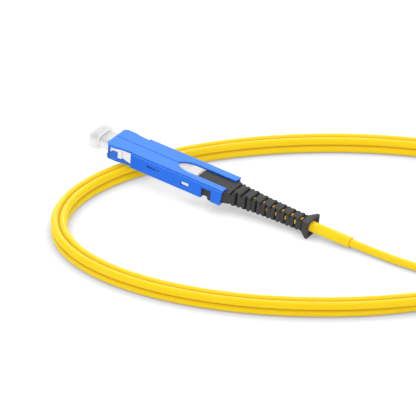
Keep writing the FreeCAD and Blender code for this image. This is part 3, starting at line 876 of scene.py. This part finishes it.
def housing_mesh():
    """Copy of the shell in its plug's own axes, with the moulded marks cut into it."""
    shape = joined_shape("a1_slide_housing", plug_place("a1").inverted())
    shell = add_object("housing_shell", mesh_of("housing_shell", shape))
    cutters = mark_cutters()
    marks = shell.modifiers.new("moulded_marks", "BOOLEAN")
    marks.operation = "DIFFERENCE"
    marks.solver = "EXACT"
    marks.object = cutters
    mesh = evaluated_mesh(shell)
    bpy.data.objects.remove(shell)
    bpy.data.objects.remove(cutters)
    return mesh


blue_shell = blue_shell_material()
marked_shell = housing_mesh()
marked_shell.materials.clear()
marked_shell.materials.append(blue_shell)
for plug in PLUGS:
    shell_mesh = marked_shell.copy()
    shell_mesh.transform(plug_place(plug))
    housing = add_object(plug + "_marked_housing", shell_mesh)
    ease_edges(housing, HOUSING_EDGE)
    keep_colour_off_floor(housing)
    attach(housing, plug + "_shell")
    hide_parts(plug + "_slide_housing")

# Dust caps: soft off-white plastic, moulded with a thick rounded flange to pull on and a bored post that
# grips the ferrule.
CAP_EDGE = 0.25 * MM
CAP_WALLS = (0.78, 0.82)
# Grey of flat faces, darkened as painted shade.
CAP_FLAT_SHADE = 0.58
CAP_GLOW_DEPTH = 3.0 * MM


def cap_plastic_material():
    """Milky soft plastic that lets a little light into its edges, with painted shade making its flat faces
    darker than its walls.
    """
    material, paint = new_material("cap_plastic")
    cloud = paint.noise(scale=240.0)
    grain = paint.noise(scale=5000.0)
    walls = cloud.tint(grey(CAP_WALLS[0]), grey(CAP_WALLS[1]))
    surface(paint, {
        # Painted shade: flat faces are darker than walls.
        "Base Color": paint.lying().tint(walls, grey(CAP_FLAT_SHADE)),
        "Roughness": 0.42 + grain * 0.12,
        "Normal": paint.relief(grain, depth=0.02 * MM, strength=0.2),
        "Subsurface Weight": 1.0,
        "Subsurface Radius": grey(CAP_GLOW_DEPTH),
        "Subsurface Scale": 1.0,
    })
    return material


cap_plastic = cap_plastic_material()
for plug in PLUGS:
    cap = dress(plug + "_dust_cap", cap_plastic)
    ease_edges(cap, CAP_EDGE)
    keep_colour_off_floor(cap)

# Floor and light: a plain sweep of matt white paper under large soft boxes, with the camera at the
# picture's angle. None of it belongs to the part.
FLOOR_SIZE = 4.0
FLOOR_DROP = 0.02 * MM
PAPER_GREYS = (0.61, 0.63)
PAPER_SHADE = 0.30
PAPER_GLOW = 0.44
PAPER_GLOW_SHADE = 0.25
# What the camera and the soft boxes face, from the coil's centre.
TARGET_OFFSET = Vector((-24.94, 7.45, 0.0)) * MM
# Each soft box: its place from the target in metres, its size and its watts.
SOFT_BOXES = {
    "overhead_box": ((0.0, 0.0, 0.9), 1.0, 4.6),
    "back_box": ((0.0, 1.2, 0.7), 1.2, 10.8),
    "front_box": ((0.8, -1.0, 0.45), 1.2, 3.4),
    "left_box": ((-1.2, -0.4, 0.35), 1.0, 4.2),
}
STUDIO_COLOUR = (1.0, 1.0, 1.0, 1.0)
STUDIO_STRENGTH = 0.46
CAMERA_ELEVATION = math.radians(31.3)
CAMERA_DISTANCE = 0.62
CAMERA_FOCAL_PIXELS = 2945.0
CAMERA_RANGE = (0.05, 20.0)
PICTURE_PIXELS = 416
SENSOR_WIDTH = 36.0


def floor_material():
    """Matt white paper that glows evenly, with painted shadow where a piece lies close over it."""
    material, paint = new_material("white_floor")
    cloud = paint.noise(scale=3.0)
    # Painted shadow: a mask that falls to 0 where a piece lies close over the paper.
    unshadowed_paper = paint.openness(reach=3.0 * MM)
    paper = cloud.tint(grey(PAPER_GREYS[0]), grey(PAPER_GREYS[1]))
    surface(paint, {
        # Painted shadow greys both the paper's colour and its glow.
        "Base Color": unshadowed_paper.tint(grey(PAPER_SHADE), paper),
        "Roughness": 0.9,
        "Specular IOR Level": 0.1,
        "Emission Color": unshadowed_paper.tint(grey(PAPER_GLOW_SHADE), grey(1.0)),
        "Emission Strength": PAPER_GLOW,
    })
    return material


half_floor = FLOOR_SIZE / 2
floor_corners = [(x * half_floor, y * half_floor, -FLOOR_DROP)
                 for x, y in ((-1, -1), (1, -1), (1, 1), (-1, 1))]
floor_mesh = bpy.data.meshes.new("floor")
floor_mesh.from_pydata(floor_corners, [], [(0, 1, 2, 3)])
floor_mesh.materials.append(floor_material())
floor = add_object("floor", floor_mesh)

target = coil_centre + TARGET_OFFSET
for name, (offset, size, watts) in SOFT_BOXES.items():
    light = bpy.data.lights.new(name, "AREA")
    light.shape = "SQUARE"
    light.size = size
    light.energy = watts
    place = target + Vector(offset)
    soft_box = add_object(name, light)
    soft_box.location = place
    soft_box.rotation_euler = (target - place).to_track_quat("-Z", "Y").to_euler()

world = bpy.data.worlds.new("studio")
world.use_nodes = True
background = world.node_tree.nodes["Background"]
background.inputs["Color"].default_value = STUDIO_COLOUR
background.inputs["Strength"].default_value = STUDIO_STRENGTH
bpy.context.scene.world = world
bpy.context.scene.view_settings.view_transform = "Standard"

camera_data = bpy.data.cameras.new("camera")
camera_data.sensor_width = SENSOR_WIDTH
camera_data.lens = CAMERA_FOCAL_PIXELS * SENSOR_WIDTH / PICTURE_PIXELS
camera_data.clip_start, camera_data.clip_end = CAMERA_RANGE
camera = add_object("camera", camera_data)
towards_camera = Vector((0.0, -math.cos(CAMERA_ELEVATION), math.sin(CAMERA_ELEVATION)))
camera.location = target + towards_camera * CAMERA_DISTANCE
camera.rotation_euler = (math.pi / 2 - CAMERA_ELEVATION, 0.0, 0.0)
bpy.context.scene.camera = camera
